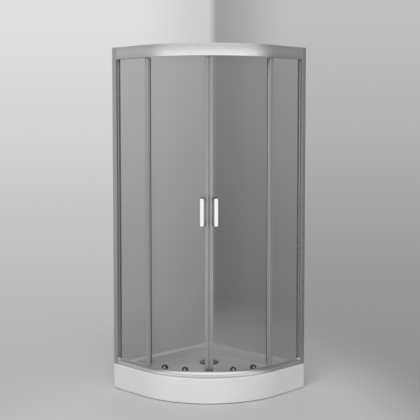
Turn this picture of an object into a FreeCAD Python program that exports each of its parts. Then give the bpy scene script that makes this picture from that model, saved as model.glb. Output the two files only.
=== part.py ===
# Quadrant shower enclosure for a room corner: a low tray, an aluminium frame, two flat fixed panes and two
# curved doors that slide on rollers. Lengths in millimetres, +Z up. The origin is on the floor under the
# middle of the square footprint; the room's corner is at -X +Y and the round front faces +X -Y.
import FreeCAD, Part
import math
import os

Vector = FreeCAD.Vector

# Footprint and heights
tray_side = 800.0
tray_radius = 550.0
tray_height = 145.0
frame_height = 1860.0
cut_overrun = 1.0
flat_tolerance = 0.01

# Tray shell
tray_wall = 5.0
tray_corner_radius = 6.0
tray_edge_round = 5.0
apron_gap = 4.0
apron_return = 45.0
skirt_height = 42.0
rim_wall_width = 55.0
rim_front_width = 88.0
basin_corner_radius = 210.0
basin_end_share = 0.385
basin_depth = 48.0
basin_slope_run = 34.0
basin_edge_round_share = 0.145
basin_floor_round_share = 0.355
floor_fall_share = 0.018

# Waste fitting
waste_from_walls = 250.0
waste_hole_radius = 45.0
waste_seat_radius = 60.0
waste_seat_depth = 2.5
waste_fit_gap = 0.3
waste_flange_thickness = 2.5
waste_collar_wall = 2.5
waste_collar_length = 24.0
waste_cover_radius = 57.0
waste_cover_rise = 3.5
waste_cover_edge = 2.0
waste_cover_lift = 4.0
waste_cover_leg_radius = 4.0
waste_cover_leg_circle = 50.0
waste_plug_wall = 2.0
waste_plug_length = 14.0
waste_window_share = 0.8
waste_gasket_thickness = 2.0
trap_flange_radius = 60.0
trap_flange_thickness = 4.0
trap_wall = 3.0
trap_bottom_height = 14.0
trap_insert_radius = 30.0
trap_insert_wall = 2.0
trap_insert_drop = 10.0
outlet_radius = 20.0
outlet_bore_radius = 17.5
outlet_height = 36.0
outlet_reach = 118.0
outlet_length = 60.0
outlet_shoulder = 6.0

# Tray support
board_bottom_height = 80.0
board_inset = 12.0
board_hole_radius = 80.0
tube_size = 20.0
tube_wall = 2.0
tube_spread = 210.0
tube_end_gap = 20.0
tube_front_gap = 56.0
stud_radius = 5.0
stud_top_gap = 3.0
foot_nut_radius = 9.0
foot_nut_height = 8.0
foot_pad_radius = 22.0
foot_pad_height = 9.0
foot_pad_top_radius = 12.0
foot_end_inset = 34.0
thread_gap = 0.1

# Glass and glazing
glass_thickness = 5.0
gasket_thickness = 1.0
gasket_lip = 1.0
gasket_cover_reach = 7.0
gasket_cover_thickness = 1.5
fixed_glass_inset = 24.0
door_glass_inset = 54.0

# Rails
rail_inset = 3.0
rail_wall = 2.0
top_rail_height = 68.0
top_rail_bulge = 3.0
top_groove_depth = 14.0
hood_margin = 6.0
hood_lip_drop = 5.0
ledge_drop = 50.0
ledge_thickness = 2.5
ledge_margin = 1.0
bottom_rail_height = 36.5
bottom_rail_lean = 13.0
bottom_rail_foot = 4.0
bottom_rail_bow = 4.2
bow_inset_share = 0.93
bow_height_share = 0.37
bottom_groove_floor = 5.0
bottom_flange_thickness = 3.0
bottom_flange_margin = 3.0
plateau_height = 15.0
bead_width = 3.0
bead_height = 5.0
port_radius = 4.6
port_hole_radius = 2.1

# Wall and side profiles
wall_profile_depth = 28.0
wall_profile_width = 36.0
wall_hole_radius = 3.0
wall_hole_end = 120.0
wall_hole_count = 4
slip_gap = 0.5
side_profile_back = 8.0
side_profile_web = 20.0
side_profile_face = 34.0

# Fixed posts and their fin seals
post_offset = 16.0
post_width = 28.0
post_front_inset = 19.0
post_bulge = 1.2
post_lip_width = 12.0
post_lip_step = 1.4
post_overlap = 10.0
post_groove_gap = 0.6
fin_offset = 22.5
fin_base_width = 7.0
fin_base_thickness = 1.5
fin_thickness = 1.2
fin_reach = 12.0
fin_end_gap = 34.0

# Screws
screw_radius = 2.0
screw_gap = 0.4
screw_head_radius = 3.8
screw_head_height = 2.6
crown_share = 0.6
rail_screw_length = 30.0
side_screw_length = 9.0
side_screw_along = 15.0
side_screw_end = 260.0
side_screw_count = 3

# Rollers
track_inset = 44.5
wheel_radius = 17.0
wheel_width = 13.0
wheel_groove_width = 10.0
wheel_groove_depth = 2.5
wheel_groove_share = 0.75
wheel_dish = 2.0
wheel_hub_radius = 8.5
wheel_rim_width = 3.5
wheel_gap = 0.3
axle_radius = 4.0
axle_run_gap = 0.06
axle_end_gap = 0.3
axle_head_radius = 7.0
axle_head_height = 2.4
axle_flange_radius = 10.0
axle_boss_radius = 6.2
washer_thickness = 1.0
washer_radius = 11.0
seat_gap = 0.2
hole_gap = 0.2
nut_radius = 13.0
nut_height = 6.0
nut_floor = 1.5
nut_round = 2.0
front_roller_angle = 15.6
rear_roller_angle = 29.9
stop_reach_share = 0.325
stop_length = 14.0
stop_height = 16.0
stop_gap = 0.5

# Door edges
door_bottom_gap = 12.0
door_top_gap = 9.0
lead_setback = 3.0
lead_width = 20.0
lead_depth = 15.0
lead_bulge = 1.6
lead_chamfer_width = 2.4
lead_chamfer_depth = 1.5
lead_glass_overlap = 13.0
lead_slot_gap = 0.8
magnet_gap = 0.3
magnet_width = 8.0
magnet_tongue_width = 5.0
magnet_tongue_depth = 3.0
trail_angle = 44.6
trail_width = 20.0
trail_back = 2.0
trail_depth = 11.0
trail_lip_reach = 4.0
drip_wall = 1.5
drip_rise = 8.0
drip_fall = 5.0
drip_slot_gap = 0.2

# Handles
handle_middle_height = 1074.0
handle_length = 157.0
handle_width = 22.0
handle_thickness = 12.0
handle_bulge = 3.0
handle_round = 2.6
handle_stand_off = 28.0
handle_from_middle = 37.0
handle_corner_radius = 6.0
handle_leg_width = 20.0
handle_leg_height = 14.0
handle_leg_round = 4.0
handle_leg_setback = 1.5
handle_pin_radius = 4.0
handle_pin_depth = 6.0
handle_nut_radius = 10.0
handle_nut_height = 6.0
handle_nut_grip = 3.6

# Places that follow from the sizes above
half_side = tray_side / 2
straight_length = tray_side - tray_radius
frame_top = tray_height + frame_height
arc_centre = Vector(-half_side + straight_length, half_side - straight_length, 0)
waste_centre = Vector(-half_side + waste_from_walls, half_side - waste_from_walls, 0)
up = Vector(0, 0, 1)
groove_out = fixed_glass_inset - gasket_thickness
groove_in = fixed_glass_inset + glass_thickness + gasket_thickness
rib_in = groove_in + rail_wall
ledge_in = track_inset + bead_width / 2 + ledge_margin
hood_in = door_glass_inset + glass_thickness + hood_margin
floor_low = tray_height - basin_depth
basin_end_radius = basin_end_share * (straight_length - rim_wall_width - basin_slope_run)
basin_edge_round = basin_edge_round_share * basin_end_radius
basin_floor_round = basin_floor_round_share * basin_end_radius
rolling_radius = wheel_radius - wheel_groove_depth
top_ledge_height = frame_top - ledge_drop
top_axle_height = top_ledge_height + bead_height + wheel_gap + rolling_radius
bottom_axle_height = tray_height + plateau_height + bead_height + wheel_gap + rolling_radius
track_radius = tray_radius - track_inset
glass_outer_radius = tray_radius - door_glass_inset
glass_inner_radius = glass_outer_radius - glass_thickness
glass_middle_radius = glass_outer_radius - glass_thickness / 2
door_bottom = tray_height + door_bottom_gap
door_top = frame_top - door_top_gap
opening_bottom = tray_height + bottom_rail_height
opening_top = frame_top - top_rail_height
port_front_inset = rail_inset + 2 * rail_wall + 2 * slip_gap + screw_head_radius
inner_seat_radius = glass_inner_radius - seat_gap
post_start = straight_length + post_offset
middle_direction = -45.0


def outline_face(place, start, *steps):
    """Closed flat face; a step is a point to draw a line to, or a (via, end) pair for an arc."""
    edges = []
    here = start
    for step in steps:
        if isinstance(step[0], tuple):
            via, end = step
            edges.append(Part.Arc(place(*here), place(*via), place(*end)).toShape())
        else:
            end = step
            edges.append(Part.makeLine(place(*here), place(*end)))
        here = end
    if here != start:
        edges.append(Part.makeLine(place(*here), place(*start)))
    return Part.Face(Part.Wire(edges))


def rail_plane(inset, height):
    """Point of a rail's cross-section, at the end of the left straight."""
    return Vector(arc_centre.x, -half_side + inset, height)


def left_plan(along, inset):
    """Point seen from above on the left straight: distance from the wall, then in from the tray's edge."""
    return Vector(-half_side + along, -half_side + inset, 0)


def flat_plan(x, y):
    """Point seen from above."""
    return Vector(x, y, 0)


def mirrored(shape):
    """The same piece on the other side of the plane through the room's corner and the front's middle."""
    return shape.mirror(Vector(0, 0, 0), Vector(1, 1, 0))


def upright(face, bottom, top):
    """Vertical extrusion of a plan."""
    shape = face.extrude(up * (top - bottom))
    shape.translate(up * bottom)
    return shape


def left_box(along, along_end, inset, inset_end, bottom, top):
    """Block on the left straight."""
    corner = left_plan(along, inset) + up * bottom
    return Part.makeBox(along_end - along, inset_end - inset, top - bottom, corner)


def on_arc(shape, angle):
    """Turns a piece made at the arc's axis, facing +X, to an angle left of the middle and moves it there."""
    placed = shape.copy()
    placed.rotate(Vector(0, 0, 0), up, middle_direction - angle)
    placed.translate(arc_centre)
    return placed


def radial_rod(radius, start, end, height):
    """Round rod along +X between two distances from the arc's axis."""
    return Part.makeCylinder(radius, end - start, Vector(start, 0, height), Vector(1, 0, 0))


def rod(radius, centre, bottom, top):
    """Round upright rod."""
    return Part.makeCylinder(radius, top - bottom, Vector(centre.x, centre.y, bottom), up)


def rounded(shape, radius, chosen):
    """Rounds the edges that the chosen test picks."""
    return shape.makeFillet(radius, [edge for edge in shape.Edges if chosen(edge)])


def level(edge, height):
    """True for an edge that lies at one height."""
    box = edge.BoundBox
    return abs(box.ZMin - height) < flat_tolerance and abs(box.ZMax - height) < flat_tolerance


def quadrant_wire(wall_inset, front_inset, corner_radius, end_radius, height):
    """Outline of the tray seen from above, drawn in from its walls and from its front."""
    left = -half_side + wall_inset
    back = half_side - wall_inset
    near = -half_side + front_inset
    right = half_side - front_inset
    radius = tray_radius - front_inset
    diagonal_share = math.sqrt(0.5)
    end_cut = end_radius * (1 - diagonal_share)
    corner_cut = corner_radius * (1 - diagonal_share)
    front = arc_centre + Vector(radius * diagonal_share, -radius * diagonal_share, 0)
    face = outline_face(
        lambda x, y: Vector(x, y, height),
        (left, back - corner_radius),
        (left, near + end_radius),
        ((left + end_cut, near + end_cut), (left + end_radius, near)),
        (arc_centre.x, near),
        ((front.x, front.y), (right, arc_centre.y)),
        (right, back - end_radius),
        ((right - end_cut, back - end_cut), (right - end_radius, back)),
        (left + corner_radius, back),
        ((left + corner_cut, back - corner_cut), (left, back - corner_radius)),
    )
    return face.OuterWire


def quadrant_block(inset, radius, bottom, top):
    """Solid block with the tray's outline."""
    return upright(Part.Face(quadrant_wire(inset, inset, radius, radius, 0)), bottom, top)


def basin_body(grow):
    """The basin's hollow, or with a growth the outside of its shell."""
    top_wire = quadrant_wire(
        rim_wall_width - grow,
        rim_front_width - grow,
        basin_corner_radius + grow,
        basin_end_radius + grow,
        tray_height,
    )
    low_wire = quadrant_wire(
        rim_wall_width + basin_slope_run - grow,
        rim_front_width + basin_slope_run - grow,
        basin_corner_radius + grow,
        basin_end_radius + grow,
        floor_low - grow,
    )
    return Part.makeLoft([top_wire, low_wire], True, True)


def above_floor(drop):
    """Everything above the floor's shallow cone, which falls to the waste."""
    reach = tray_side
    low = floor_low - drop
    face = outline_face(
        lambda r, z: waste_centre + Vector(r, 0, z),
        (0, low),
        (reach, low + reach * floor_fall_share),
        (reach, low + reach),
        (0, low + reach),
    )
    return face.revolve(waste_centre, up, 360)


def shower_tray():
    """One-piece tray: apron in front, short skirt at the walls, rim and basin."""
    shell = quadrant_block(0, tray_corner_radius, apron_gap, tray_height)
    shell = rounded(shell, tray_edge_round, lambda edge: level(edge, tray_height))
    hollow = quadrant_block(
        tray_wall, tray_corner_radius, apron_gap - cut_overrun, tray_height - tray_wall
    )
    open_back = left_box(
        -cut_overrun,
        tray_wall + cut_overrun,
        apron_return,
        tray_side + cut_overrun,
        apron_gap - cut_overrun,
        tray_height - skirt_height,
    )
    shell = shell.cut([hollow, open_back, mirrored(open_back)])
    inside = basin_body(0).common(above_floor(0))
    inside = rounded(inside, basin_floor_round, is_floor_edge)
    outside = basin_body(tray_wall).common(above_floor(tray_wall))
    seat = rod(waste_seat_radius, waste_centre, floor_low - waste_seat_depth, tray_height)
    boss = rod(
        waste_seat_radius + tray_wall, waste_centre, floor_low - tray_wall - waste_seat_depth, floor_low
    )
    hole = rod(waste_hole_radius, waste_centre, 0, tray_height)
    tray = shell.fuse([outside, boss]).cut([inside, seat, hole]).removeSplitter()
    return rounded(tray, basin_edge_round, is_rim_edge)


def is_floor_edge(edge):
    """Edges between the basin's floor and its sides."""
    return edge.BoundBox.ZMax < floor_low + basin_depth / 2


def is_rim_edge(edge):
    """Edges between the rim and the basin's sides."""
    box = edge.BoundBox
    reach = max(abs(box.XMin), abs(box.XMax), abs(box.YMin), abs(box.YMax))
    return level(edge, tray_height) and reach < half_side - rim_wall_width / 2


def waste_flange():
    """Ring in the tray's recess with a collar that screws into the trap."""
    bottom = floor_low - waste_seat_depth
    collar_radius = waste_hole_radius - waste_fit_gap
    ring = rod(waste_seat_radius - waste_fit_gap, waste_centre, bottom, bottom + waste_flange_thickness)
    collar = rod(collar_radius, waste_centre, bottom - waste_collar_length, bottom)
    bore = rod(collar_radius - waste_collar_wall, waste_centre, 0, tray_height)
    return ring.fuse(collar).cut(bore)


def waste_cover():
    """Domed lift-off cover on three short legs, with a ring that centres it in the collar."""
    flange_top = floor_low - waste_seat_depth + waste_flange_thickness
    under = flange_top + waste_cover_lift
    crown = under + waste_cover_edge + waste_cover_rise
    ball_radius = (waste_cover_radius ** 2 + waste_cover_rise ** 2) / (2 * waste_cover_rise)
    ball = Part.makeSphere(ball_radius, waste_centre + up * (crown - ball_radius))
    cover = rod(waste_cover_radius, waste_centre, under, crown + waste_cover_edge).common(ball)
    plug_radius = waste_hole_radius - waste_fit_gap - waste_collar_wall - waste_fit_gap
    plug = rod(plug_radius, waste_centre, under - waste_plug_length, under)
    plug = plug.cut(rod(plug_radius - waste_plug_wall, waste_centre, 0, under))
    window_width = waste_window_share * plug_radius
    window = Part.makeBox(2 * plug_radius, window_width, waste_plug_length)
    windows = []
    legs = []
    for turn in (0, 120, 240):
        block = window.copy()
        block.translate(Vector(0, -window_width / 2, under - waste_plug_length - waste_cover_edge))
        block.rotate(Vector(0, 0, 0), up, turn)
        block.translate(waste_centre)
        windows.append(block)
        place = Vector(waste_cover_leg_circle, 0, 0)
        leg = rod(waste_cover_leg_radius, place, flange_top, under)
        leg.rotate(Vector(0, 0, 0), up, turn)
        leg.translate(waste_centre)
        legs.append(leg)
    return cover.fuse([plug.cut(windows)] + legs).removeSplitter()


def waste_underside():
    """Height of the tray's underside round the waste."""
    return floor_low - tray_wall - waste_seat_depth


def waste_gasket():
    """Rubber ring between the tray's underside and the trap."""
    top = waste_underside()
    ring = rod(trap_flange_radius, waste_centre, top - waste_gasket_thickness, top)
    return ring.cut(rod(waste_hole_radius, waste_centre, 0, tray_height))


def trap_body():
    """Round trap cup with a flange under the tray and a side outlet towards the left wall."""
    top = waste_underside() - waste_gasket_thickness
    inner = waste_hole_radius - waste_fit_gap + thread_gap
    cup = rod(inner + trap_wall, waste_centre, trap_bottom_height, top)
    flange = rod(trap_flange_radius, waste_centre, top - trap_flange_thickness, top)
    centre = Vector(waste_centre.x, waste_centre.y, outlet_height)
    outward = Vector(-1, 0, 0)
    collar_radius = outlet_radius + trap_wall
    collar_length = outlet_reach - outlet_length - outlet_shoulder
    spigot = Part.makeCylinder(outlet_radius, outlet_reach, centre, outward)
    collar = Part.makeCylinder(collar_radius, collar_length, centre, outward)
    cone_start = centre + outward * collar_length
    shoulder = Part.makeCone(collar_radius, outlet_radius, outlet_shoulder, cone_start, outward)
    hollow = rod(inner, waste_centre, trap_bottom_height + trap_wall, top + cut_overrun)
    bore = Part.makeCylinder(outlet_bore_radius, outlet_reach + cut_overrun, centre, outward)
    return cup.fuse([flange, spigot, collar, shoulder]).cut([hollow, bore]).removeSplitter()


def trap_insert():
    """Lift-out tube that dips into the water and stands on the trap's floor on a slotted foot."""
    bottom = trap_bottom_height + trap_wall
    top = floor_low - waste_seat_depth - waste_collar_length - trap_insert_drop
    tube = rod(trap_insert_radius, waste_centre, bottom, top)
    bore = rod(trap_insert_radius - trap_insert_wall, waste_centre, bottom - cut_overrun, top + cut_overrun)
    slot_height = trap_insert_drop
    slot = Part.makeBox(4 * trap_insert_radius, trap_insert_radius, slot_height)
    slot.translate(waste_centre + Vector(-2 * trap_insert_radius, -trap_insert_radius / 2, bottom))
    return tube.cut([bore, slot])


def base_board():
    """Board bonded under the basin's floor, with a hole round the trap."""
    inset = basin_slope_run + board_inset
    wire = quadrant_wire(
        rim_wall_width + inset, rim_front_width + inset, basin_corner_radius, basin_end_radius, 0
    )
    block = upright(Part.Face(wire), board_bottom_height, floor_low + basin_depth / 2)
    hole = rod(board_hole_radius, waste_centre, 0, tray_height)
    return block.cut([above_floor(tray_wall), hole])


def hollow_bar(length):
    """Square tube along +X from the origin."""
    bar = Part.makeBox(length, tube_size, tube_size)
    core = tube_size - 2 * tube_wall
    bore = Part.makeBox(length + 2 * cut_overrun, core, core, Vector(-cut_overrun, tube_wall, tube_wall))
    return bar.cut(bore)


def tube_lines():
    """The two tube lines along X: their Y, start and end."""
    back = waste_centre.y + tube_spread / 2
    front = waste_centre.y - tube_spread / 2
    start = -half_side + tube_end_gap
    reach = math.sqrt(tray_radius ** 2 - (arc_centre.y - front) ** 2)
    return ((back, start, half_side - tube_end_gap), (front, start, arc_centre.x + reach - tube_front_gap))


def foot_places():
    """Where the five feet stand."""
    back_line, front_line = tube_lines()
    corner = Vector(waste_centre.x - tube_spread / 2, back_line[0], 0)
    side = Vector(back_line[2] - foot_end_inset, back_line[0], 0)
    front = Vector(front_line[2] - foot_end_inset, front_line[0], 0)
    return [corner, side, front, swapped(side), swapped(front)]


def swapped(point):
    """The mirror image of a point."""
    return Vector(-point.y, -point.x, point.z)


def support_frame():
    """Welded frame of square tube, two lines each way under the board, bored for the feet."""
    bottom = board_bottom_height - tube_size
    bars = []
    for line, start, end in tube_lines():
        bar = hollow_bar(end - start)
        bar.translate(Vector(start, line - tube_size / 2, bottom))
        bars.append(bar)
    across = [mirrored(bar) for bar in bars]
    cores = [Part.makeBox(b.BoundBox.XLength, tube_size, tube_size, corner_of(b)) for b in bars]
    pieces = [bar.cut(cores) for bar in across]
    stud_top = board_bottom_height - tube_wall
    holes = [rod(stud_radius + thread_gap, place, 0, stud_top) for place in foot_places()]
    return bars[0].fuse(bars[1:] + pieces).cut(holes).removeSplitter()


def corner_of(shape):
    """Lowest corner of a shape's box."""
    box = shape.BoundBox
    return Vector(box.XMin, box.YMin, box.ZMin)


def foot_studs():
    """Threaded studs from the pads up into the tubes."""
    top = board_bottom_height - tube_wall - stud_top_gap
    return Part.Compound([rod(stud_radius, place, foot_pad_height / 2, top) for place in foot_places()])


def foot_nuts():
    """A nut under the tube and a nut on the pad of every foot."""
    nuts = []
    for place in foot_places():
        for bottom in (foot_pad_height, board_bottom_height - tube_size - foot_nut_height):
            corners = []
            for turn in range(6):
                angle = math.radians(60 * turn)
                corners.append((place.x + foot_nut_radius * math.cos(angle),
                                place.y + foot_nut_radius * math.sin(angle)))
            nut = upright(outline_face(flat_plan, *corners), bottom, bottom + foot_nut_height)
            nuts.append(nut.cut(rod(stud_radius + thread_gap, place, 0, tray_height)))
    return Part.Compound(nuts)


def foot_pads():
    """Plastic pads that stand on the floor."""
    pads = []
    for place in foot_places():
        low = rod(foot_pad_radius, place, 0, foot_pad_height / 3)
        cone = Part.makeCone(
            foot_pad_radius, foot_pad_top_radius, foot_pad_height * 2 / 3,
            Vector(place.x, place.y, foot_pad_height / 3),
        )
        socket = rod(stud_radius + thread_gap, place, foot_pad_height / 2, tray_height)
        pads.append(low.fuse(cone).cut(socket).removeSplitter())
    return Part.Compound(pads)


def with_ports(face, ports):
    """Adds the round screw ports to a rail's cross-section."""
    discs = []
    holes = []
    for inset, height in ports:
        centre = rail_plane(inset, height)
        discs.append(Part.Face(Part.Wire(Part.makeCircle(port_radius, centre, Vector(1, 0, 0)))))
        holes.append(Part.Face(Part.Wire(Part.makeCircle(port_hole_radius, centre, Vector(1, 0, 0)))))
    joined = face.fuse(discs).removeSplitter().cut(holes)
    return joined.Faces[0]


def swept_rail(face):
    """A rail along the left straight, the arc and the right straight."""
    left = face.extrude(Vector(side_profile_face - straight_length, 0, 0))
    bend = face.revolve(arc_centre, up, 90)
    return left.fuse([bend, mirrored(left)]).removeSplitter()


def top_ports():
    """Screw ports of the top rail, as inset and height."""
    low = (groove_out - rail_wall - port_radius / 2, opening_top + rail_wall + port_radius / 2)
    return (low, (port_front_inset, frame_top - ledge_drop / 2))


def bottom_ports():
    """Screw ports of the bottom rail, as inset and height."""
    high = (groove_out - rail_wall - port_radius / 2, opening_bottom - rail_wall - port_radius / 2)
    low = (port_front_inset, tray_height + bottom_flange_thickness + port_radius / 2)
    return (low, high)


def bead_steps(base, first_side):
    """Outline of the running bead; first_side is 1 from the inner foot, -1 from the outer foot."""
    first = track_inset + first_side * bead_width / 2
    last = track_inset - first_side * bead_width / 2
    shoulder = base + bead_height - bead_width / 2
    return (
        (first, base),
        (first, shoulder),
        ((track_inset, base + bead_height), (last, shoulder)),
        (last, base),
    )


def top_rail():
    """Tall front, glazing groove below, ledge with the running bead, hood over the rollers."""
    front = rail_inset + top_rail_bulge
    back_of_front = front + rail_wall
    middle = frame_top - top_rail_height / 2
    groove_top = opening_top + top_groove_depth
    ledge_under = top_ledge_height - ledge_thickness
    face = outline_face(
        rail_plane,
        (front, frame_top),
        ((rail_inset, middle), (front, opening_top)),
        (groove_out, opening_top),
        (groove_out, groove_top),
        (groove_in, groove_top),
        (groove_in, opening_top),
        (rib_in, opening_top),
        (rib_in, ledge_under),
        (ledge_in, ledge_under),
        (ledge_in, top_ledge_height),
        *bead_steps(top_ledge_height, 1),
        (back_of_front, top_ledge_height),
        (back_of_front, frame_top - rail_wall),
        (hood_in - rail_wall, frame_top - rail_wall),
        (hood_in - rail_wall, frame_top - hood_lip_drop),
        (hood_in, frame_top - hood_lip_drop),
        (hood_in, frame_top),
    )
    chamber = outline_face(
        rail_plane,
        (back_of_front, opening_top + rail_wall),
        (groove_out - rail_wall, opening_top + rail_wall),
        (groove_out - rail_wall, ledge_under),
        (back_of_front, ledge_under),
    )
    return swept_rail(with_ports(face.cut(chamber), top_ports()))


def hump_via(front_shift):
    """Middle point of the bottom rail's bowed front."""
    low = tray_height + bottom_rail_foot
    middle_inset = rail_inset + bottom_rail_lean / 2 - bottom_rail_bow * bow_inset_share
    middle_height = (low + opening_bottom) / 2 + bottom_rail_bow * bow_height_share
    return (middle_inset + front_shift * bow_inset_share, middle_height - front_shift * bow_height_share)


def bottom_rail():
    """Bowed hollow front, glazing groove, raised track with the running bead, drip flange inside."""
    foot_top = tray_height + bottom_rail_foot
    groove_floor = tray_height + bottom_groove_floor
    plateau = tray_height + plateau_height
    flange = tray_height + bottom_flange_thickness
    flange_in = door_glass_inset + glass_thickness + bottom_flange_margin
    hump_back = rail_inset + bottom_rail_lean
    face = outline_face(
        rail_plane,
        (rail_inset, tray_height),
        (rail_inset, foot_top),
        (hump_via(0), (hump_back, opening_bottom)),
        (groove_out, opening_bottom),
        (groove_out, groove_floor),
        (groove_in, groove_floor),
        (groove_in, plateau + rail_wall),
        (rib_in, plateau + rail_wall),
        (rib_in, plateau),
        *bead_steps(plateau, -1),
        (ledge_in, plateau),
        (ledge_in, flange),
        (flange_in, flange),
        (flange_in, tray_height),
    )
    hump_room = outline_face(
        rail_plane,
        (rail_inset + rail_wall, flange),
        (rail_inset + rail_wall, foot_top),
        (hump_via(rail_wall), (hump_back + rail_wall * bow_inset_share, opening_bottom - rail_wall)),
        (groove_out - rail_wall, opening_bottom - rail_wall),
        (groove_out - rail_wall, flange),
    )
    track_room = outline_face(
        rail_plane,
        (rib_in, flange),
        (rib_in, plateau - rail_wall),
        (ledge_in - rail_wall, plateau - rail_wall),
        (ledge_in - rail_wall, flange),
    )
    return swept_rail(with_ports(face.cut([hump_room, track_room]), bottom_ports()))


def wall_hole_heights():
    """Heights of the wall fixing holes."""
    first = tray_height + wall_hole_end
    step = (frame_height - 2 * wall_hole_end) / (wall_hole_count - 1)
    return [first + step * number for number in range(wall_hole_count)]


def side_screw_heights():
    """Heights of the screws that lock a side profile in its wall profile."""
    first = tray_height + side_screw_end
    step = (frame_height - 2 * side_screw_end) / (side_screw_count - 1)
    return [first + step * number for number in range(side_screw_count)]


def across_rod(radius, along, inset, inset_end, height):
    """Round rod across the left straight."""
    start = left_plan(along, inset) + up * height
    return Part.makeCylinder(radius, inset_end - inset, start, Vector(0, 1, 0))


def along_rod(radius, along, along_end, inset, height):
    """Round rod along the left straight."""
    start = left_plan(along, inset) + up * height
    return Part.makeCylinder(radius, along_end - along, start, Vector(1, 0, 0))


def wall_profile():
    """Channel screwed to the left wall, open towards the pane."""
    inner = rail_inset + wall_profile_width
    face = outline_face(
        left_plan,
        (0, rail_inset),
        (wall_profile_depth, rail_inset),
        (wall_profile_depth, rail_inset + rail_wall),
        (rail_wall, rail_inset + rail_wall),
        (rail_wall, inner - rail_wall),
        (wall_profile_depth, inner - rail_wall),
        (wall_profile_depth, inner),
        (0, inner),
    )
    middle = rail_inset + wall_profile_width / 2
    holes = [along_rod(wall_hole_radius, -cut_overrun, rail_wall + cut_overrun, middle, height)
             for height in wall_hole_heights()]
    free_radius = screw_radius + screw_gap
    holes += [across_rod(free_radius, side_screw_along, inner - 2 * rail_wall, inner + cut_overrun, height)
              for height in side_screw_heights()]
    return upright(face, tray_height, frame_top).cut(holes)


def side_profile():
    """Profile that slips into the wall channel, carries the pane in a groove and takes the rails' screws."""
    outer = rail_inset + rail_wall + slip_gap
    inner = rail_inset + wall_profile_width - rail_wall - slip_gap
    web_front = side_profile_web + rail_wall
    plate_back = side_profile_face - rail_wall
    face = outline_face(
        left_plan,
        (side_profile_back, outer),
        (side_profile_face, outer),
        (side_profile_face, groove_out),
        (web_front, groove_out),
        (web_front, groove_in),
        (side_profile_face, groove_in),
        (side_profile_face, inner),
        (side_profile_back, inner),
        (side_profile_back, inner - rail_wall),
        (side_profile_web, inner - rail_wall),
        (side_profile_web, outer + rail_wall),
        (side_profile_back, outer + rail_wall),
    )
    room = outline_face(
        left_plan,
        (web_front, outer + rail_wall),
        (plate_back, outer + rail_wall),
        (plate_back, groove_out - rail_wall),
        (web_front, groove_out - rail_wall),
    )
    holes = []
    hole_start = side_profile_web - cut_overrun
    hole_end = side_profile_face + cut_overrun
    for inset, height in top_ports() + bottom_ports():
        holes.append(along_rod(screw_radius + screw_gap, hole_start, hole_end, inset, height))
    for height in side_screw_heights():
        holes.append(across_rod(
            screw_radius + thread_gap, side_screw_along, inner - 2 * rail_wall, inner + cut_overrun, height
        ))
    return upright(face.cut(room), tray_height, frame_top).cut(holes)


def pan_screw(start, direction, length):
    """Screw with a domed head; it runs from under the head along a direction."""
    shank = Part.makeCylinder(screw_radius, length, start, direction)
    head = Part.makeCylinder(screw_head_radius, screw_head_height, start, direction * -1)
    crown = [edge for edge in head.Edges if (edge.BoundBox.Center - start).Length > screw_head_height / 2]
    return shank.fuse(head.makeFillet(screw_head_height * crown_share, crown[:1]))


def rail_screws():
    """Screws from the side profiles into the ends of both rails."""
    screws = []
    for inset, height in top_ports() + bottom_ports():
        start = left_plan(side_profile_web, inset) + up * height
        screw = pan_screw(start, Vector(1, 0, 0), rail_screw_length)
        screws += [screw, mirrored(screw)]
    return Part.Compound(screws)


def side_screws():
    """Screws on the inner faces that lock the side profiles in the wall profiles."""
    screws = []
    inner = rail_inset + wall_profile_width
    for height in side_screw_heights():
        start = left_plan(side_screw_along, inner) + up * height
        screw = pan_screw(start, Vector(0, -1, 0), side_screw_length)
        screws += [screw, mirrored(screw)]
    return Part.Compound(screws)


def fixed_glass_block():
    """The left fixed pane."""
    start = side_profile_web + rail_wall + gasket_thickness
    return left_box(
        start,
        post_start + post_overlap,
        fixed_glass_inset,
        fixed_glass_inset + glass_thickness,
        tray_height + bottom_groove_floor + gasket_thickness,
        opening_top + top_groove_depth - gasket_thickness,
    )


def glass_gasket():
    """Glazing strip round three sides of the left fixed pane, with a cover lip on the side profile."""
    start = side_profile_web + rail_wall
    bottom = tray_height + bottom_groove_floor
    top = opening_top + top_groove_depth
    beside = left_box(start, side_profile_face + gasket_lip, groove_out, groove_in, bottom, top)
    cover = left_box(
        side_profile_face, side_profile_face + gasket_cover_thickness,
        groove_out - gasket_cover_reach, fixed_glass_inset, opening_bottom, opening_top,
    )
    below = left_box(
        start, straight_length, groove_out, groove_in, bottom, tray_height + plateau_height + rail_wall
    )
    above = left_box(start, straight_length, groove_out, groove_in, opening_top - gasket_lip, top)
    return beside.fuse([cover, below, above]).removeSplitter().cut(fixed_glass_block())


def fixed_post():
    """Upright profile on the free edge of the left fixed pane."""
    start = post_start
    end = start + post_width
    nose = start + post_lip_width
    slot_end = start + post_overlap + post_groove_gap
    slot_out = fixed_glass_inset - post_groove_gap
    slot_in = fixed_glass_inset + glass_thickness + post_groove_gap
    front = post_front_inset + post_bulge
    face = outline_face(
        left_plan,
        (start, front + post_lip_step),
        (nose, front + post_lip_step),
        (nose, front),
        (((nose + end) / 2, post_front_inset), (end, front)),
        (end, rib_in),
        (start, rib_in),
        (start, slot_in),
        (slot_end, slot_in),
        (slot_end, slot_out),
        (start, slot_out),
    )
    room = outline_face(
        left_plan,
        (slot_end + rail_wall, front + rail_wall),
        (end - rail_wall, front + rail_wall),
        (end - rail_wall, rib_in - rail_wall),
        (slot_end + rail_wall, rib_in - rail_wall),
    )
    return upright(face.cut(room), opening_bottom, opening_top)


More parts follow.
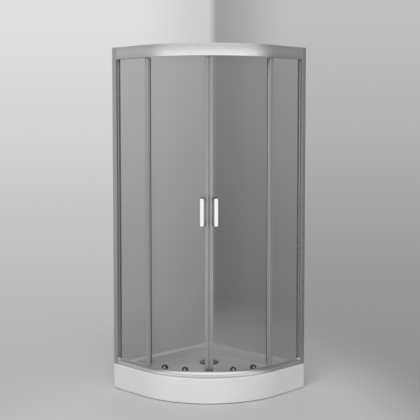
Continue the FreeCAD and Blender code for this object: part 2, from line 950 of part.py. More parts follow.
def post_seal():
    """Fin seal on the inner face of the left fixed post."""
    middle = straight_length + fin_offset
    start = middle - fin_base_width / 2
    end = middle + fin_base_width / 2
    base_in = rib_in + fin_base_thickness
    face = outline_face(
        left_plan,
        (start, rib_in),
        (start, base_in),
        (middle - fin_thickness / 2, base_in),
        (middle - fin_thickness / 2, base_in + fin_reach),
        (middle + fin_thickness / 2, base_in + fin_reach),
        (middle + fin_thickness / 2, base_in),
        (end, base_in),
        (end, rib_in),
    )
    return upright(face, opening_bottom + fin_end_gap, opening_top - fin_end_gap)


def rail_stops():
    """Rubber stops on the top rail's bead that end the doors' travel."""
    end = straight_length * (1 - stop_reach_share) - wheel_radius - stop_gap
    block = left_box(
        end - stop_length, end, track_inset - wheel_width / 2, ledge_in,
        top_ledge_height, top_ledge_height + stop_height,
    )
    bead = outline_face(rail_plane, *bead_steps(top_ledge_height, -1))
    slot = bead.extrude(Vector(-straight_length, 0, 0))
    stop = block.cut(slot)
    return Part.Compound([stop, mirrored(stop)])


def roller_places():
    """Angle and height of the four rollers of a door."""
    return [(angle, height) for height in (top_axle_height, bottom_axle_height)
            for angle in (front_roller_angle, rear_roller_angle)]


def handle_angle():
    """Angle of the handle left of the middle."""
    return math.degrees(handle_from_middle / glass_middle_radius)


def handle_post_heights():
    """Heights of a handle's two legs, near the ends of the grip."""
    from_middle = (handle_length - handle_leg_height) / 2 - handle_leg_setback
    return (handle_middle_height - from_middle, handle_middle_height + from_middle)


def door_glass():
    """Curved pane of the left door, drilled for the rollers and the handle."""
    face = outline_face(
        lambda radius, height: Vector(radius, 0, height),
        (glass_inner_radius, door_bottom),
        (glass_outer_radius, door_bottom),
        (glass_outer_radius, door_top),
        (glass_inner_radius, door_top),
    )
    lead_angle = math.degrees((lead_setback + lead_width - lead_glass_overlap) / glass_middle_radius)
    pane = face.revolve(Vector(0, 0, 0), up, trail_angle - lead_angle)
    pane = on_arc(pane, trail_angle)
    holes = []
    start = glass_inner_radius - cut_overrun
    end = glass_outer_radius + cut_overrun
    for angle, height in roller_places():
        holes.append(on_arc(radial_rod(axle_boss_radius + hole_gap, start, end, height), angle))
    for height in handle_post_heights():
        holes.append(on_arc(radial_rod(handle_pin_radius + hole_gap, start, end, height), handle_angle()))
    return pane.cut(holes)


def lead_profile():
    """Upright profile on the leading edge of the left door, with a slot for the magnetic strip."""
    front = glass_middle_radius + lead_depth / 2
    back = glass_middle_radius - lead_depth / 2
    slot = glass_thickness / 2 + lead_slot_gap
    near = -lead_setback
    far = -lead_setback - lead_width
    slot_end = far + lead_glass_overlap + lead_slot_gap
    tongue = magnet_tongue_width / 2
    shoulder = front - lead_bulge
    face = outline_face(
        flat_plan,
        (shoulder - lead_chamfer_depth, near),
        (shoulder, near - lead_chamfer_width),
        ((front, (near + far) / 2), (shoulder, far + lead_chamfer_width)),
        (shoulder - lead_chamfer_depth, far),
        (glass_middle_radius + slot, far),
        (glass_middle_radius + slot, slot_end),
        (glass_middle_radius - slot, slot_end),
        (glass_middle_radius - slot, far),
        (back, far),
        (back, near),
        (glass_middle_radius - tongue, near),
        (glass_middle_radius - tongue, near - magnet_tongue_depth),
        (glass_middle_radius + tongue, near - magnet_tongue_depth),
        (glass_middle_radius + tongue, near),
    )
    return on_arc(upright(face, door_bottom, door_top), 0)


def magnet_strip():
    """Magnetic strip held in the left door's leading profile."""
    tongue = magnet_tongue_width / 2 - hole_gap
    width = magnet_width / 2
    root = -lead_setback - magnet_tongue_depth + hole_gap
    face = outline_face(
        flat_plan,
        (glass_middle_radius - width, -lead_setback),
        (glass_middle_radius - width, -magnet_gap),
        (glass_middle_radius + width, -magnet_gap),
        (glass_middle_radius + width, -lead_setback),
        (glass_middle_radius + tongue, -lead_setback),
        (glass_middle_radius + tongue, root),
        (glass_middle_radius - tongue, root),
        (glass_middle_radius - tongue, -lead_setback),
    )
    return on_arc(upright(face, door_bottom, door_top), 0)


def trail_profile():
    """Upright profile on the trailing edge of the left door, with a lip that meets the fixed post's fin."""
    front = glass_middle_radius + trail_depth / 2
    back = glass_middle_radius - trail_depth / 2
    slot = glass_thickness / 2 + lead_slot_gap
    face = outline_face(
        flat_plan,
        (back, -trail_back),
        (front + trail_lip_reach, -trail_back),
        (front + trail_lip_reach, 0),
        (front, 0),
        (front, trail_width),
        (glass_middle_radius + slot, trail_width),
        (glass_middle_radius + slot, 0),
        (glass_middle_radius - slot, 0),
        (glass_middle_radius - slot, trail_width),
        (back, trail_width),
    )
    return on_arc(upright(face, opening_bottom + trail_back, opening_top - trail_back), trail_angle)


def drip_strip():
    """Clear strip clipped on the lower edge of the left door, with a drip fin."""
    inner = glass_inner_radius - drip_slot_gap
    outer = glass_outer_radius + drip_slot_gap
    face = outline_face(
        lambda radius, height: Vector(radius, 0, door_bottom + height),
        (inner - drip_wall, -drip_wall),
        (inner - drip_wall, drip_rise),
        (inner, drip_rise),
        (inner, 0),
        (outer, 0),
        (outer, drip_rise),
        (outer + drip_wall, drip_rise),
        (outer + drip_wall, -drip_wall),
        (glass_middle_radius + drip_wall / 2, -drip_wall),
        (glass_middle_radius + drip_wall / 2, -drip_fall),
        (glass_middle_radius - drip_wall / 2, -drip_fall),
        (glass_middle_radius - drip_wall / 2, -drip_wall),
    )
    lead_angle = math.degrees((lead_setback + lead_width + drip_wall) / glass_middle_radius)
    strip = face.revolve(Vector(0, 0, 0), up, trail_angle - lead_angle)
    return on_arc(strip, trail_angle)


def handle_bar():
    """Upright grip of the left door, flat behind and bowed in front, with rounded ends."""
    back = glass_outer_radius + handle_stand_off
    shoulder = back + handle_thickness - handle_bulge
    side = handle_width / 2
    face = outline_face(
        flat_plan,
        (back, -side),
        (shoulder, -side),
        ((shoulder + handle_bulge, 0), (shoulder, side)),
        (back, side),
    )
    bottom = handle_middle_height - handle_length / 2
    bar = upright(face, bottom, bottom + handle_length)
    outline = rounded_block(handle_width, handle_length, handle_corner_radius, back, shoulder + handle_bulge)
    outline.translate(up * handle_middle_height)
    bar = bar.common(outline)
    bar = bar.makeFillet(handle_round, [edge for edge in bar.Edges if is_grip_edge(edge, back)])
    start = back - cut_overrun
    holes = [radial_rod(handle_pin_radius + hole_gap, start, back + handle_pin_depth, height)
             for height in handle_post_heights()]
    return on_arc(bar.cut(holes), handle_angle())


def is_grip_edge(edge, back):
    """Edges round the back and the front of the grip, not the ones that run from back to front."""
    box = edge.BoundBox
    return box.XLength < handle_bulge or box.XMin > back + flat_tolerance


def rounded_block(width, height, radius, start, end):
    """Upright block across +X with rounded corners, between two distances from the arc's axis."""
    block = Part.makeBox(end - start, width, height, Vector(start, -width / 2, -height / 2))
    along = [edge for edge in block.Edges if edge.BoundBox.XLength > flat_tolerance]
    return block.makeFillet(radius, along)


def handle_leg(start, end, height):
    """Rounded leg of a handle between two distances from the arc's axis."""
    leg = rounded_block(handle_leg_width, handle_leg_height, handle_leg_round, start, end)
    leg.translate(up * height)
    return leg


def handle_posts():
    """Two legs with pins into the grip and through the glass."""
    outer = glass_outer_radius + washer_thickness
    back = glass_outer_radius + handle_stand_off
    pin_start = inner_seat_radius - washer_thickness - handle_nut_grip
    pin_end = back + handle_pin_depth - hole_gap
    posts = []
    for height in handle_post_heights():
        leg = handle_leg(outer, back, height)
        pin = radial_rod(handle_pin_radius, pin_start, pin_end, height)
        posts.append(on_arc(leg.fuse(pin).removeSplitter(), handle_angle()))
    return Part.Compound(posts)


def domed_nut(radius, height, bore_radius, pin_end, level_height):
    """Round nut on the inside of the glass, blind towards the cabin."""
    face_at = inner_seat_radius - washer_thickness
    nut = radial_rod(radius, face_at - height, face_at, level_height)
    crown = [edge for edge in nut.Edges if edge.BoundBox.XMax < face_at - height + flat_tolerance]
    nut = nut.makeFillet(nut_round, crown)
    return nut.cut(radial_rod(bore_radius + thread_gap, pin_end, face_at + cut_overrun, level_height))


def handle_nuts():
    """Domed nuts of the handle on the inside of the left door."""
    pin_end = inner_seat_radius - washer_thickness - handle_nut_grip - hole_gap
    nuts = [domed_nut(handle_nut_radius, handle_nut_height, handle_pin_radius, pin_end, height)
            for height in handle_post_heights()]
    return Part.Compound([on_arc(nut, handle_angle()) for nut in nuts])


def soft_washer(disc, hole_radius, start, height):
    """A washer's disc with its hole; the washer starts at a distance from the arc's axis."""
    hole = radial_rod(hole_radius + thread_gap, start - cut_overrun, start + 2 * washer_thickness, height)
    return disc.cut(hole)


def door_washers():
    """Soft washers under the rollers' and the handle's fixings of the left door, on both glass faces."""
    inside = inner_seat_radius - washer_thickness
    washers = []
    for angle, height in roller_places():
        for start in (glass_outer_radius, inside):
            disc = radial_rod(washer_radius, start, start + washer_thickness, height)
            washers.append(on_arc(soft_washer(disc, axle_boss_radius, start, height), angle))
    for height in handle_post_heights():
        pad = handle_leg(glass_outer_radius, glass_outer_radius + washer_thickness, height)
        disc = radial_rod(handle_nut_radius, inside, inside + washer_thickness, height)
        for shape, start in ((pad, glass_outer_radius), (disc, inside)):
            washers.append(on_arc(soft_washer(shape, handle_pin_radius, start, height), handle_angle()))
    return Part.Compound(washers)


def roller_axles():
    """Stepped axles of the left door: head, journal, flange, boss in the glass and thread for the nut."""
    axles = []
    wheel_out = track_radius + wheel_width / 2 + axle_end_gap
    wheel_in = track_radius - wheel_width / 2 - axle_end_gap
    flange_in = glass_outer_radius + washer_thickness
    nut_face = inner_seat_radius - washer_thickness
    pin_end = nut_face - nut_height + nut_floor + hole_gap
    for angle, height in roller_places():
        head = radial_rod(axle_head_radius, wheel_out, wheel_out + axle_head_height, height)
        crown = [edge for edge in head.Edges if edge.BoundBox.XMin > wheel_out + axle_head_height / 2]
        head = head.makeFillet(axle_head_height * crown_share, crown[:1])
        journal = radial_rod(axle_radius, pin_end, wheel_out, height)
        flange = radial_rod(axle_flange_radius, flange_in, wheel_in, height)
        boss = radial_rod(axle_boss_radius, nut_face, flange_in, height)
        axles.append(on_arc(journal.fuse([head, flange, boss]).removeSplitter(), angle))
    return Part.Compound(axles)


def roller_nuts():
    """Domed nuts of the rollers on the inside of the left door."""
    nuts = []
    pin_end = inner_seat_radius - washer_thickness - nut_height + nut_floor
    for angle, height in roller_places():
        nuts.append(on_arc(domed_nut(nut_radius, nut_height, axle_radius, pin_end, height), angle))
    return Part.Compound(nuts)


def wheel(angle, height):
    """Grooved roller wheel of the left door, dished on both faces."""
    side = wheel_width / 2
    groove = wheel_groove_width / 2
    rim_inner = wheel_radius - wheel_groove_depth - wheel_rim_width
    bore = axle_radius + axle_run_gap
    shoulder = groove - wheel_groove_depth * wheel_groove_share
    face = outline_face(
        lambda x, r: Vector(track_radius + x, 0, height + r),
        (-side, bore),
        (-side, wheel_hub_radius),
        (wheel_dish - side, wheel_hub_radius),
        (wheel_dish - side, rim_inner),
        (-side, rim_inner),
        (-side, wheel_radius),
        (-groove, wheel_radius),
        (-shoulder, rolling_radius),
        (shoulder, rolling_radius),
        (groove, wheel_radius),
        (side, wheel_radius),
        (side, rim_inner),
        (side - wheel_dish, rim_inner),
        (side - wheel_dish, wheel_hub_radius),
        (side, wheel_hub_radius),
        (side, bore),
    )
    return on_arc(face.revolve(Vector(0, 0, height), Vector(1, 0, 0), 360), angle)


def make_parts():
    """Every piece by its name."""
    parts = {
        "shower_tray": shower_tray(),
        "tray_base_board": base_board(),
        "tray_support_frame": support_frame(),
        "tray_foot_studs": foot_studs(),
        "tray_foot_nuts": foot_nuts(),
        "tray_foot_pads": foot_pads(),
        "waste_flange": waste_flange(),
        "waste_cover": waste_cover(),
        "waste_gasket": waste_gasket(),
        "waste_trap_body": trap_body(),
        "waste_trap_insert": trap_insert(),
        "top_rail": top_rail(),
        "bottom_rail": bottom_rail(),
        "rail_screws": rail_screws(),
        "side_profile_screws": side_screws(),
        "rail_stops": rail_stops(),
    }
    paired = {
        "wall_profile": wall_profile(),
        "side_profile": side_profile(),
        "fixed_glass": fixed_glass_block(),
        "glass_gasket": glass_gasket(),
        "fixed_post": fixed_post(),
        "post_seal": post_seal(),
        "door_glass": door_glass(),
        "lead_profile": lead_profile(),
        "magnet_strip": magnet_strip(),
        "trail_profile": trail_profile(),
        "drip_strip": drip_strip(),
        "handle_bar": handle_bar(),
        "handle_posts": handle_posts(),
        "handle_nuts": handle_nuts(),
        "door_washers": door_washers(),
        "roller_axles": roller_axles(),
        "roller_nuts": roller_nuts(),
    }
    for height, level_name in ((top_axle_height, "top"), (bottom_axle_height, "bottom")):
        paired["wheel_" + level_name + "_front"] = wheel(front_roller_angle, height)
        paired["wheel_" + level_name + "_rear"] = wheel(rear_roller_angle, height)
    for name, shape in paired.items():
        parts[name + "_left"] = shape
        parts[name + "_right"] = mirrored(shape)
    return parts


if __name__ == "__main__":
    os.makedirs("parts", exist_ok=True)
    for part_name, part_shape in make_parts().items():
        part_shape.exportStep("parts/" + part_name + ".step")
        print(part_name, len(part_shape.Solids), round(part_shape.Volume), part_shape.isValid())
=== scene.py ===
"""Looks of a quadrant shower enclosure: finishes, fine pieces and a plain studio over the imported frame.

Lengths are in metres, +Z up. The room's corner is at -X +Y and the round front faces +X -Y.
"""
import logging
import math
from dataclasses import dataclass, field
from enum import Enum
from typing import Iterable, Sequence

import bmesh
import bpy
from mathutils import Matrix, Vector


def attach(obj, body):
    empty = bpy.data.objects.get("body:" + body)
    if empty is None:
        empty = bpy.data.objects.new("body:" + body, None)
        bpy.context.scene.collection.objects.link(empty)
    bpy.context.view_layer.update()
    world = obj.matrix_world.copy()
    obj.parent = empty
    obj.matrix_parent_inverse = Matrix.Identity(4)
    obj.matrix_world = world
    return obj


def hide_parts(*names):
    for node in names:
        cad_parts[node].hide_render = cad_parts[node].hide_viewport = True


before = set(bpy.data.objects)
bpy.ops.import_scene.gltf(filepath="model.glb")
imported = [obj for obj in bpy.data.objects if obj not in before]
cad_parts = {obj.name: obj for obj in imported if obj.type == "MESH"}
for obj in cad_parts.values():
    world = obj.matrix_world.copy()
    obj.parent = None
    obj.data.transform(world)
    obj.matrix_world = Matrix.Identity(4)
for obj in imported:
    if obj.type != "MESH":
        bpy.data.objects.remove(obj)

Colour = tuple[float, float, float]
Point = tuple[float, float, float]
Span = tuple[float, float]
Stops = tuple[Span, ...]
Shape = bmesh.types.BMesh
Socket = bpy.types.NodeSocket
Value = float | Sequence[float] | Socket

LOG = logging.getLogger("shower_enclosure")
ARC_CENTRE: Point = (-0.150, 0.150, 0.0)
MIDDLE_DEG = -45.0
ORIGIN: Point = (0.0, 0.0, 0.0)
X_AXIS: Point = (1.0, 0.0, 0.0)
Z_AXIS: Point = (0.0, 0.0, 1.0)
EVEN: Point = (1.0, 1.0, 1.0)
FLAT: Point = (1.0, 1.0, 0.0)
BOTH_WAYS: Span = (-1.0, 1.0)
MERGE_DISTANCE = 1e-7
SHADED_SHARP_DEG = 38.0
ROUNDED_SHARP_DEG = 30.0
SQUARE_SHARP_DEG = 60.0
NOISE_MIDDLE = 0.5
NOISE_SPAN: Span = (0.3, 0.7)
# Numbers of a Mix node's colour sockets, because its other sockets have the same names.
MIX_COLOUR_A = 6
MIX_COLOUR_B = 7
MIXED_COLOUR = 2


class Side(Enum):
    """The two halves of the enclosure, with the sense in which angles run from the middle."""

    LEFT = -1
    RIGHT = 1

    @property
    def word(self) -> str:
        """The side's word in node and body names."""
        return self.name.lower()


class Level(Enum):
    """Height of a roller's axle."""

    TOP = 1.9748
    BOTTOM = 0.1798


class Rank(Enum):
    """Angle of a roller from the middle of the front."""

    FRONT = 15.6
    REAR = 29.9


@dataclass(frozen=True)
class Grain:
    """Noise pattern: cells to a metre, their stretch along each axis, and octaves of finer noise."""

    cells: float
    stretch: Point = EVEN
    detail: float = 4.0


@dataclass(frozen=True)
class Relief:
    """Fine relief of a surface: the share that shows, and its depth."""

    strength: float
    depth: float


@dataclass(frozen=True)
class Wear:
    """Rubbed edges: how far they reach in, their roughness, and the grain that breaks them up."""

    reach: float
    rough: float
    turn: Span = (0.99, 0.82)
    patches: Grain = Grain(140.0)
    samples: int = 4


class Drawn(Enum):
    """Direction of the fine lines that extrusion leaves, as their pattern."""

    UPRIGHT = Grain(1.0, (260.0, 260.0, 1.2))
    LEVEL = Grain(1.0, (1.2, 1.2, 420.0))


class ShaderTree:
    """Node tree of a material or a world, with short calls for the nodes that both use."""

    def __init__(self, owner: bpy.types.Material | bpy.types.World) -> None:
        """Turns the owner's nodes on.

        Args:
            owner: The material or the world.
        """
        owner.use_nodes = True
        self.nodes = owner.node_tree.nodes
        self.links = owner.node_tree.links

    def feed(self, socket: Socket, value: Value) -> None:
        """Links an input, or sets its constant.

        Args:
            socket: The input.
            value: The socket that feeds it, or the constant.
        """
        if isinstance(value, Socket):
            self.links.new(value, socket)
        else:
            socket.default_value = value

    def node(self, kind: str, inputs: dict[str | int, Value], **settings: str | int) -> bpy.types.Node:
        """Adds a node.

        Args:
            kind: Its type, without the start that all shader nodes share.
            inputs: What feeds it, by the name or number of each input.
            settings: The node's own settings, which are made first.

        Returns:
            The node.
        """
        node = self.nodes.new("ShaderNode" + kind)
        for name, setting in settings.items():
            setattr(node, name, setting)
        for key, value in inputs.items():
            self.feed(node.inputs[key], value)
        return node

    def length(self, vector: Socket) -> Socket:
        """Length of a vector."""
        return self.node("VectorMath", {0: vector}, operation="LENGTH").outputs["Value"]

    def along(self, vector: Socket, axis: Value) -> Socket:
        """How far a vector reaches along an axis."""
        return self.node("VectorMath", {0: vector, 1: axis}, operation="DOT_PRODUCT").outputs["Value"]

    def blend(self, share: Socket, first: Value, second: Value) -> Socket:
        """Mix of two values, by the share of the second."""
        return self.node("Mix", {"Factor": share, "A": first, "B": second}).outputs["Result"]

    def spread(self, value: Socket, source: Span, target: Span, eased: bool = False) -> Socket:
        """Carries a value from one range over to another.

        Args:
            value: The value.
            source: Its range.
            target: The range of the result.
            eased: Whether the change slows down at both ends.

        Returns:
            The result, which stays within its range.
        """
        inputs = {
            "Value": value,
            "From Min": source[0],
            "From Max": source[1],
            "To Min": target[0],
            "To Max": target[1],
        }
        way = "SMOOTHSTEP" if eased else "LINEAR"
        return self.node("MapRange", inputs, interpolation_type=way).outputs["Result"]

    def step(self, value: Socket, source: Span, target: Span = (0.0, 1.0)) -> Socket:
        """Soft step between two levels as a value crosses a range."""
        return self.spread(value, source, target, eased=True)

    def ramp(self, value: Socket, stops: Sequence[tuple[float, Colour]], eased: bool = False) -> Socket:
        """Colour that changes with a value.

        Args:
            value: The value, from 0 to 1.
            stops: Values and the colours there, in rising order.
            eased: Whether the change slows down at each stop.

        Returns:
            The colour.
        """
        ramp = self.node("ValToRGB", {"Fac": value})
        ramp.color_ramp.interpolation = "EASE" if eased else "LINEAR"
        elements = ramp.color_ramp.elements
        elements.remove(elements[0])
        for number, (place, tone) in enumerate(stops):
            element = elements.new(place) if number else elements[0]
            element.position = place
            element.color = (*tone, 1.0)
        return ramp.outputs["Color"]


class Graph(ShaderTree):
    """Node tree of one material, with short calls for what the finishes share."""

    def __init__(self, name: str) -> None:
        """Starts a material with its shader.

        Args:
            name: The material's name.
        """
        self.material = bpy.data.materials.new(name)
        super().__init__(self.material)
        self.shader = self.nodes["Principled BSDF"]
        self.place = self.nodes.new("ShaderNodeTexCoord").outputs["Object"]
        self.last_relief: Socket | None = None

    def constants(self, **sockets: float | Sequence[float]) -> None:
        """Sets constants on the shader's own sockets.

        Args:
            sockets: Values by socket name, with underscores for spaces.
        """
        for key, value in sockets.items():
            self.shader.inputs[key.replace("_", " ")].default_value = value

    def mapped(self, stretch: Point = EVEN, shift: Point = ORIGIN) -> Socket:
        """Object coordinates, stretched and shifted along the axes."""
        inputs = {"Vector": self.place, "Scale": stretch, "Location": shift}
        return self.node("Mapping", inputs).outputs["Vector"]

    def grain(self, grain: Grain) -> Socket:
        """Noise pattern.

        Args:
            grain: The noise.

        Returns:
            The pattern, about 0.5 on average.
        """
        place = self.mapped(grain.stretch)
        noise = self.node("TexNoise", {"Vector": place, "Scale": grain.cells, "Detail": grain.detail})
        return noise.outputs["Fac"]

    def crystals(self, cells: float) -> Socket:
        """Pattern of flat cells, as on galvanised steel or pressed chips.

        Args:
            cells: Cells to a metre.

        Returns:
            The pattern, one tone for each cell.
        """
        pattern = self.node("TexVoronoi", {"Vector": self.mapped(), "Scale": cells})
        return pattern.outputs["Color"]

    def rings(self, grain: Grain, centre: Point) -> Socket:
        """Turning lines round an upright axis.

        Args:
            grain: The noise across the lines.
            centre: A point on the axis.

        Returns:
            The pattern.
        """
        away = self.length(self.mapped(grain.stretch, (-centre[0], -centre[1], 0.0)))
        inputs = {"W": away, "Scale": grain.cells, "Detail": grain.detail}
        return self.node("TexNoise", inputs, noise_dimensions="1D").outputs["Fac"]

    def tint(self, pattern: Socket, dark: Colour, light: Colour, soft: float = 0.3) -> None:
        """Colours the surface between two tones.

        Args:
            pattern: The pattern that mixes them.
            dark: Tone where the pattern is low.
            light: Tone where the pattern is high.
            soft: Width of the pattern's range that the blend covers, to each side of its middle.
        """
        tone = self.ramp(pattern, ((NOISE_MIDDLE - soft, dark), (NOISE_MIDDLE + soft, light)))
        self.feed(self.shader.inputs["Base Color"], tone)

    def gloss(self, pattern: Socket, rough: Span) -> None:
        """Varies the roughness.

        Args:
            pattern: The pattern that drives it.
            rough: Roughness where the pattern is low, and where it is high.
        """
        self.feed(self.shader.inputs["Roughness"], self.spread(pattern, NOISE_SPAN, rough))

    def relief(self, pattern: Socket, relief: Relief) -> None:
        """Adds fine relief on top of what is there.

        Args:
            pattern: Height pattern.
            relief: How much of it shows.
        """
        inputs = {"Height": pattern, "Strength": relief.strength, "Distance": relief.depth}
        if self.last_relief is not None:
            inputs["Normal"] = self.last_relief
        self.last_relief = self.node("Bump", inputs).outputs["Normal"]
        self.feed(self.shader.inputs["Normal"], self.last_relief)

    def edges(self, wear: Wear) -> Socket:
        """Mask of rubbed edges, broken up by a grain.

        Args:
            wear: The rubbing.

        Returns:
            The mask, 1 where the edge is worn.
        """
        rounded = self.node("Bevel", {"Radius": wear.reach}, samples=wear.samples)
        true_normal = self.nodes.new("ShaderNodeNewGeometry").outputs["Normal"]
        rubbed = self.step(self.along(rounded.outputs["Normal"], true_normal), wear.turn)
        patchy = self.node("Math", {0: rubbed, 1: self.grain(wear.patches)}, operation="MULTIPLY")
        return patchy.outputs["Value"]

    def wear(self, wear: Wear, tone: Colour) -> None:
        """Lets a bare tone and roughness show along the edges, over the tint and gloss that are there.

        Args:
            wear: The rubbing.
            tone: Colour of the worn surface.
        """
        mask = self.edges(wear)
        colour, rough = self.shader.inputs["Base Color"], self.shader.inputs["Roughness"]
        inputs = {"Factor": mask, MIX_COLOUR_A: colour.links[0].from_socket, MIX_COLOUR_B: (*tone, 1.0)}
        self.feed(colour, self.node("Mix", inputs, data_type="RGBA").outputs[MIXED_COLOUR])
        self.feed(rough, self.blend(mask, rough.links[0].from_socket, wear.rough))


def scaled(tone: Colour, share: float) -> Colour:
    """A darker or lighter tone of the same hue."""
    return tuple(min(1.0, share * part) for part in tone)


@dataclass(frozen=True)
class Acrylic:
    """Gloss white sanitary acrylic, faintly wavy from its mould."""

    name: str = "tray_white"
    dark: Colour = (0.80, 0.80, 0.795)
    light: Colour = (0.85, 0.85, 0.845)
    gloss: Span = (0.10, 0.20)
    cloud: Grain = Grain(5.0, detail=3.0)
    speck: Grain = Grain(60.0)
    wave: Grain = Grain(9.0, detail=2.0)
    skin: Grain = Grain(900.0)
    wave_relief: Relief = Relief(0.25, 0.0006)
    skin_relief: Relief = Relief(0.05, 0.0002)
    worn: Wear = Wear(0.002, 0.30)

    def material(self) -> bpy.types.Material:
        """Makes the finish.

        Returns:
            Its node material.
        """
        graph = Graph(self.name)
        graph.tint(graph.grain(self.cloud), self.dark, self.light)
        graph.gloss(graph.grain(self.speck), self.gloss)
        graph.relief(graph.grain(self.wave), self.wave_relief)
        graph.relief(graph.grain(self.skin), self.skin_relief)
        graph.wear(self.worn, self.dark)
        graph.constants(IOR=1.49, Coat_Weight=0.35, Coat_Roughness=0.05)
        return graph.material


@dataclass(frozen=True)
class Aluminium:
    """Anodised aluminium with fine drawn lines."""

    name: str
    drawn: Drawn
    dark: Colour
    light: Colour
    gloss: Span
    metal: float = 1.0
    cloud: Grain = Grain(18.0)
    line_relief: Relief = Relief(0.05, 0.0002)
    worn: Wear = Wear(0.0006, 0.38)
    worn_share: float = 1.08

    def material(self) -> bpy.types.Material:
        """Makes the finish.

        Returns:
            Its node material.
        """
        graph = Graph(self.name)
        lines = graph.grain(self.drawn.value)
        graph.tint(lines, self.dark, self.light)
        graph.gloss(graph.grain(self.cloud), self.gloss)
        graph.relief(lines, self.line_relief)
        graph.wear(self.worn, scaled(self.light, self.worn_share))
        graph.constants(Metallic=self.metal)
        return graph.material


@dataclass(frozen=True)
class Chrome:
    """Polished plating with faint wipe marks."""

    name: str = "chrome_bright"
    dark: Colour = (0.88, 0.885, 0.89)
    light: Colour = (0.94, 0.945, 0.95)
    gloss: Span = (0.05, 0.14)
    wipe: Grain = Grain(35.0, (1.0, 1.0, 0.35))
    pits: Grain = Grain(700.0)
    pit_relief: Relief = Relief(0.02, 0.0001)
    worn: Wear = Wear(0.0006, 0.22)

    def material(self) -> bpy.types.Material:
        """Makes the finish.

        Returns:
            Its node material.
        """
        graph = Graph(self.name)
        wipe = graph.grain(self.wipe)
        graph.tint(wipe, self.dark, self.light)
        graph.gloss(wipe, self.gloss)
        graph.relief(graph.grain(self.pits), self.pit_relief)
        graph.wear(self.worn, self.dark)
        graph.constants(Metallic=1.0)
        return graph.material


@dataclass(frozen=True)
class TurnedSteel:
    """Stainless steel with fine rings from the lathe."""

    name: str = "waste_steel"
    centre: Point = ARC_CENTRE
    dark: Colour = (0.13, 0.13, 0.132)
    light: Colour = (0.18, 0.18, 0.182)
    bare: Colour = (0.36, 0.36, 0.362)
    gloss: Span = (0.24, 0.36)
    rings: Grain = Grain(900.0, FLAT, 3.0)
    speck: Grain = Grain(60.0)
    ring_relief: Relief = Relief(0.06, 0.0003)
    worn: Wear = Wear(0.0006, 0.18)

    def material(self) -> bpy.types.Material:
        """Makes the finish.

        Returns:
            Its node material.
        """
        graph = Graph(self.name)
        rings = graph.rings(self.rings, self.centre)
        graph.tint(rings, self.dark, self.light)
        graph.gloss(graph.grain(self.speck), self.gloss)
        graph.relief(rings, self.ring_relief)
        graph.wear(self.worn, self.bare)
        graph.constants(Metallic=1.0)
        return graph.material


@dataclass(frozen=True)
class TintedGlass:
    """Grey toughened glass, clear enough to look through."""

    name: str = "tinted_glass"
    dark: Colour = (0.050, 0.052, 0.052)
    light: Colour = (0.070, 0.073, 0.073)
    gloss: Span = (0.0, 0.02)
    cover: float = 0.28
    cloud: Grain = Grain(1.5, detail=1.0)
    smear: Grain = Grain(25.0)
    wave: Grain = Grain(3.0, (1.0, 1.0, 0.4), 1.0)
    wave_relief: Relief = Relief(0.04, 0.0004)

    def material(self) -> bpy.types.Material:
        """Makes the finish.

        Returns:
            Its node material.
        """
        graph = Graph(self.name)
        graph.tint(graph.grain(self.cloud), self.dark, self.light)
        graph.gloss(graph.grain(self.smear), self.gloss)
        graph.relief(graph.grain(self.wave), self.wave_relief)
        graph.constants(IOR=1.5, Alpha=self.cover, Specular_IOR_Level=0.4)
        return graph.material


@dataclass(frozen=True)
class Moulded:
    """Moulded plastic or rubber, with a fine mould grain."""

    name: str
    dark: Colour
    light: Colour
    gloss: Span
    grained: float = 0.15
    cover: float = 1.0
    grain_depth: float = 0.0002
    cloud: Grain = Grain(90.0)
    speck: Grain = Grain(240.0)
    mould: Grain = Grain(1500.0)
    worn_reach: float = 0.0005
    worn_share: float = 1.25

    def material(self) -> bpy.types.Material:
        """Makes the finish.

        Returns:
            Its node material.
        """
        graph = Graph(self.name)
        graph.tint(graph.grain(self.cloud), self.dark, self.light)
        graph.gloss(graph.grain(self.speck), self.gloss)
        graph.relief(graph.grain(self.mould), Relief(self.grained, self.grain_depth))
        graph.wear(Wear(self.worn_reach, self.gloss[0]), scaled(self.light, self.worn_share))
        graph.constants(IOR=1.5, Alpha=self.cover)
        return graph.material


@dataclass(frozen=True)
class ZincSteel:
    """Zinc plated steel with its pale crystals."""

    name: str = "zinc_steel"
    dark: Colour = (0.50, 0.51, 0.52)
    light: Colour = (0.66, 0.67, 0.68)
    bare: Colour = (0.80, 0.80, 0.80)
    gloss: Span = (0.28, 0.46)
    flakes: float = 220.0
    soft: float = 0.4
    speck: Grain = Grain(120.0)
    flake_relief: Relief = Relief(0.05, 0.0002)
    worn: Wear = Wear(0.0008, 0.24)

    def material(self) -> bpy.types.Material:
        """Makes the finish.

        Returns:
            Its node material.
        """
        graph = Graph(self.name)
        flakes = graph.crystals(self.flakes)
        graph.tint(flakes, self.dark, self.light, self.soft)
        graph.gloss(graph.grain(self.speck), self.gloss)
        graph.relief(flakes, self.flake_relief)
        graph.wear(self.worn, self.bare)
        graph.constants(Metallic=1.0)
        return graph.material


@dataclass(frozen=True)
class ChipBoard:
    """Raw pressed board with its chips."""

    name: str = "board"
    dark: Colour = (0.40, 0.28, 0.17)
    light: Colour = (0.66, 0.52, 0.36)
    broken: Colour = (0.74, 0.62, 0.46)
    gloss: Span = (0.65, 0.85)
    chips: float = 160.0
    soft: float = 0.45
    speck: Grain = Grain(200.0)
    chip_relief: Relief = Relief(0.25, 0.0005)
    worn: Wear = Wear(0.0025, 0.9)

    def material(self) -> bpy.types.Material:
        """Makes the finish.

        Returns:
            Its node material.
        """
        graph = Graph(self.name)
        chips = graph.crystals(self.chips)
        graph.tint(chips, self.dark, self.light, self.soft)
        graph.gloss(graph.grain(self.speck), self.gloss)
        graph.relief(chips, self.chip_relief)
        graph.wear(self.worn, self.broken)
        return graph.material


